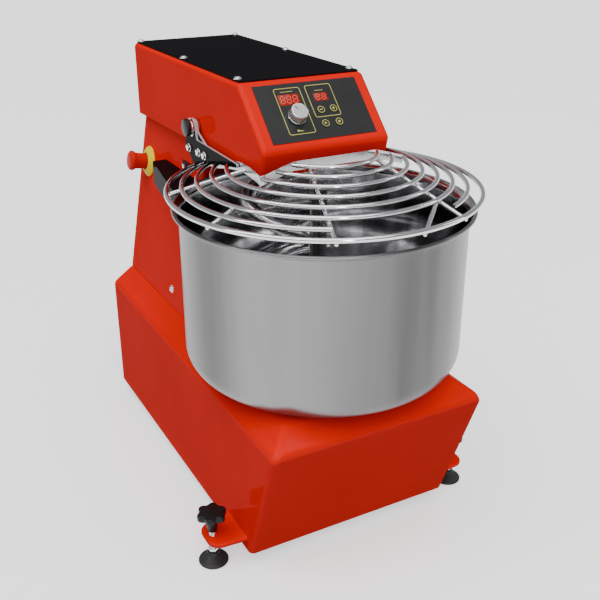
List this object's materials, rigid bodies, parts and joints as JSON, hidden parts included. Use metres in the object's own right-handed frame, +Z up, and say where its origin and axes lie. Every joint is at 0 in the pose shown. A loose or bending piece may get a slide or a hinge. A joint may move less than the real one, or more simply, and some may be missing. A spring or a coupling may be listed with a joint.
{
  "type": "spiral dough mixer",
  "caption": "Floor-standing spiral dough mixer with a turning bowl, a spiral hook, a breaker bar, a lifting wire guard and a slanted control panel.",
  "frame": {"origin": "on the floor, under the middle of the machine's length and width", "axes": "+Z up, -Y towards the front where the bowl stands, -X on the side of the emergency stop"},
  "size_m": [0.528, 0.823, 0.753],
  "materials": {
    "red_paint": "gloss",
    "black_gloss": "gloss",
    "black_paint": "satin",
    "stainless": "brushed",
    "chrome": "polished",
    "zinc_steel": "satin",
    "cast_housing": "matte",
    "motor_paint": "satin",
    "rubber": "matte",
    "overlay": "satin",
    "display": "gloss",
    "knob_metal": "satin",
    "key_plastic": "satin",
    "stop_red": "gloss",
    "stop_yellow": "satin",
    "black_plastic": "satin",
    "board_green": "satin",
    "switch_yellow": "gloss"
  },
  "bodies": {
    "frame": {"base_shell": "red_paint", "base_plate": "zinc_steel", "column_shell": "red_paint", "rear_cover": "red_paint", "rear_cover_screws": "chrome", "head_shell": "red_paint", "head_floor": "zinc_steel", "top_plate": "black_gloss", "top_plate_screws": "chrome", "control_overlay": "overlay", "display_windows": "display", "bowl_shield": "black_paint", "side_bolts": "chrome", "breaker_bar": "chrome", "spiral_bearing_housing": "cast_housing", "spiral_seal": "rubber", "bowl_bearing_housing": "cast_housing", "ball_bearings": "zinc_steel", "motor_housing": "motor_paint", "gearbox_housing": "cast_housing", "motor_shelf": "zinc_steel", "upper_belt": "rubber", "lower_belt": "rubber", "inverter_box": "black_plastic", "control_board": "board_green", "guard_switch": "switch_yellow", "cable_gland": "black_plastic", "foot_lugs": "red_paint", "wheel_brackets": "zinc_steel", "stop_disc": "stop_yellow", "stop_housing": "black_plastic"},
    "bowl": {"bowl": "stainless", "bowl_hub": "zinc_steel", "bowl_pulley": "cast_housing"},
    "spiral": {"spiral_hook": "chrome", "spiral_shaft": "chrome", "spiral_pulley": "cast_housing"},
    "drive": {"drive_shaft": "zinc_steel", "drive_pulleys": "cast_housing"},
    "guard": {"guard_rings": "chrome", "guard_bars": "chrome", "guard_strip": "stainless", "guard_arms": "black_paint", "guard_shaft": "zinc_steel", "guard_caps": "black_plastic", "guard_bolts": "chrome"},
    "stop_button": {"stop_button": "stop_red"},
    "speed_knob": {"speed_knob": "knob_metal"},
    "minus_key": {"minus_key": "key_plastic"},
    "plus_key": {"plus_key": "key_plastic"},
    "start_key": {"start_key": "key_plastic"},
    "stop_key": {"stop_key": "key_plastic"},
    "left_pad": {"left_foot_pad": "rubber"},
    "right_pad": {"right_foot_pad": "rubber"},
    "left_screw": {"left_foot_screw": "black_plastic"},
    "right_screw": {"right_foot_screw": "black_plastic"},
    "rear_left_wheel": {"rear_left_wheel": "rubber"},
    "rear_right_wheel": {"rear_right_wheel": "rubber"},
    "front_left_wheel": {"front_left_wheel": "rubber"},
    "front_right_wheel": {"front_right_wheel": "rubber"}
  },
  "joints": [
    {"name": "bowl_spin", "type": "hinge", "parent": "frame", "child": "bowl", "pos_m": [0, -0.1645, 0.2935], "axis": [0, 0, 1], "continuous": true},
    {"name": "spiral_spin", "type": "hinge", "parent": "frame", "child": "spiral", "pos_m": [0, -0.0385, 0.604], "axis": [0, 0, 1], "continuous": true},
    {"name": "drive_spin", "type": "hinge", "parent": "frame", "child": "drive", "pos_m": [0, 0.1805, 0.45], "axis": [0, 0, 1], "continuous": true},
    {"name": "guard_lift", "type": "hinge", "parent": "frame", "child": "guard", "pos_m": [0, 0.0695, 0.6495], "axis": [-1, 0, 0], "range_deg": [0, 75]},
    {"name": "stop_push", "type": "slide", "parent": "frame", "child": "stop_button", "axis": [0.9851, 0, -0.1721], "range_m": [0, 0.005]},
    {"name": "speed_turn", "type": "hinge", "parent": "frame", "child": "speed_knob", "pos_m": [-0.036, -0.14093, 0.69829], "axis": [0, -0.7091, 0.7051], "range_deg": [-150, 150]},
    {"name": "minus_press", "type": "slide", "parent": "frame", "child": "minus_key", "axis": [0, 0.7091, -0.7051], "range_m": [0, 0.0008], "stiffness_N_per_m": 2000},
    {"name": "plus_press", "type": "slide", "parent": "frame", "child": "plus_key", "axis": [0, 0.7091, -0.7051], "range_m": [0, 0.0008], "stiffness_N_per_m": 2000},
    {"name": "start_press", "type": "slide", "parent": "frame", "child": "start_key", "axis": [0, 0.7091, -0.7051], "range_m": [0, 0.0008], "stiffness_N_per_m": 2000},
    {"name": "stop_press", "type": "slide", "parent": "frame", "child": "stop_key", "axis": [0, 0.7091, -0.7051], "range_m": [0, 0.0008], "stiffness_N_per_m": 2000},
    {"name": "left_foot_rise", "type": "slide", "parent": "frame", "child": "left_pad", "axis": [0, 0, 1], "range_m": [-0.0051, 0.0101]},
    {"name": "left_foot_turn", "type": "hinge", "parent": "left_pad", "child": "left_screw", "pos_m": [-0.239, -0.227, 0.06], "axis": [0, 0, 1], "range_deg": [-1028, 2057]},
    {"name": "right_foot_rise", "type": "slide", "parent": "frame", "child": "right_pad", "axis": [0, 0, 1], "range_m": [-0.0051, 0.0101]},
    {"name": "right_foot_turn", "type": "hinge", "parent": "right_pad", "child": "right_screw", "pos_m": [0.239, -0.227, 0.06], "axis": [0, 0, 1], "range_deg": [-1028, 2057]},
    {"name": "rear_left_roll", "type": "hinge", "parent": "frame", "child": "rear_left_wheel", "pos_m": [-0.13, 0.3205, 0.025], "axis": [1, 0, 0], "continuous": true},
    {"name": "rear_right_roll", "type": "hinge", "parent": "frame", "child": "rear_right_wheel", "pos_m": [0.13, 0.3205, 0.025], "axis": [1, 0, 0], "continuous": true},
    {"name": "front_left_roll", "type": "hinge", "parent": "frame", "child": "front_left_wheel", "pos_m": [-0.13, -0.1445, 0.025], "axis": [1, 0, 0], "continuous": true},
    {"name": "front_right_roll", "type": "hinge", "parent": "frame", "child": "front_right_wheel", "pos_m": [0.13, -0.1445, 0.025], "axis": [1, 0, 0], "continuous": true}
  ],
  "couplings": [
    {"joint": "spiral_spin", "follows": "bowl_spin", "ratio": 8},
    {"joint": "drive_spin", "follows": "bowl_spin", "ratio": 8},
    {"joint": "left_foot_rise", "follows": "left_foot_turn", "m_per_rad": 0.00027852},
    {"joint": "right_foot_rise", "follows": "right_foot_turn", "m_per_rad": 0.00027852}
  ]
}
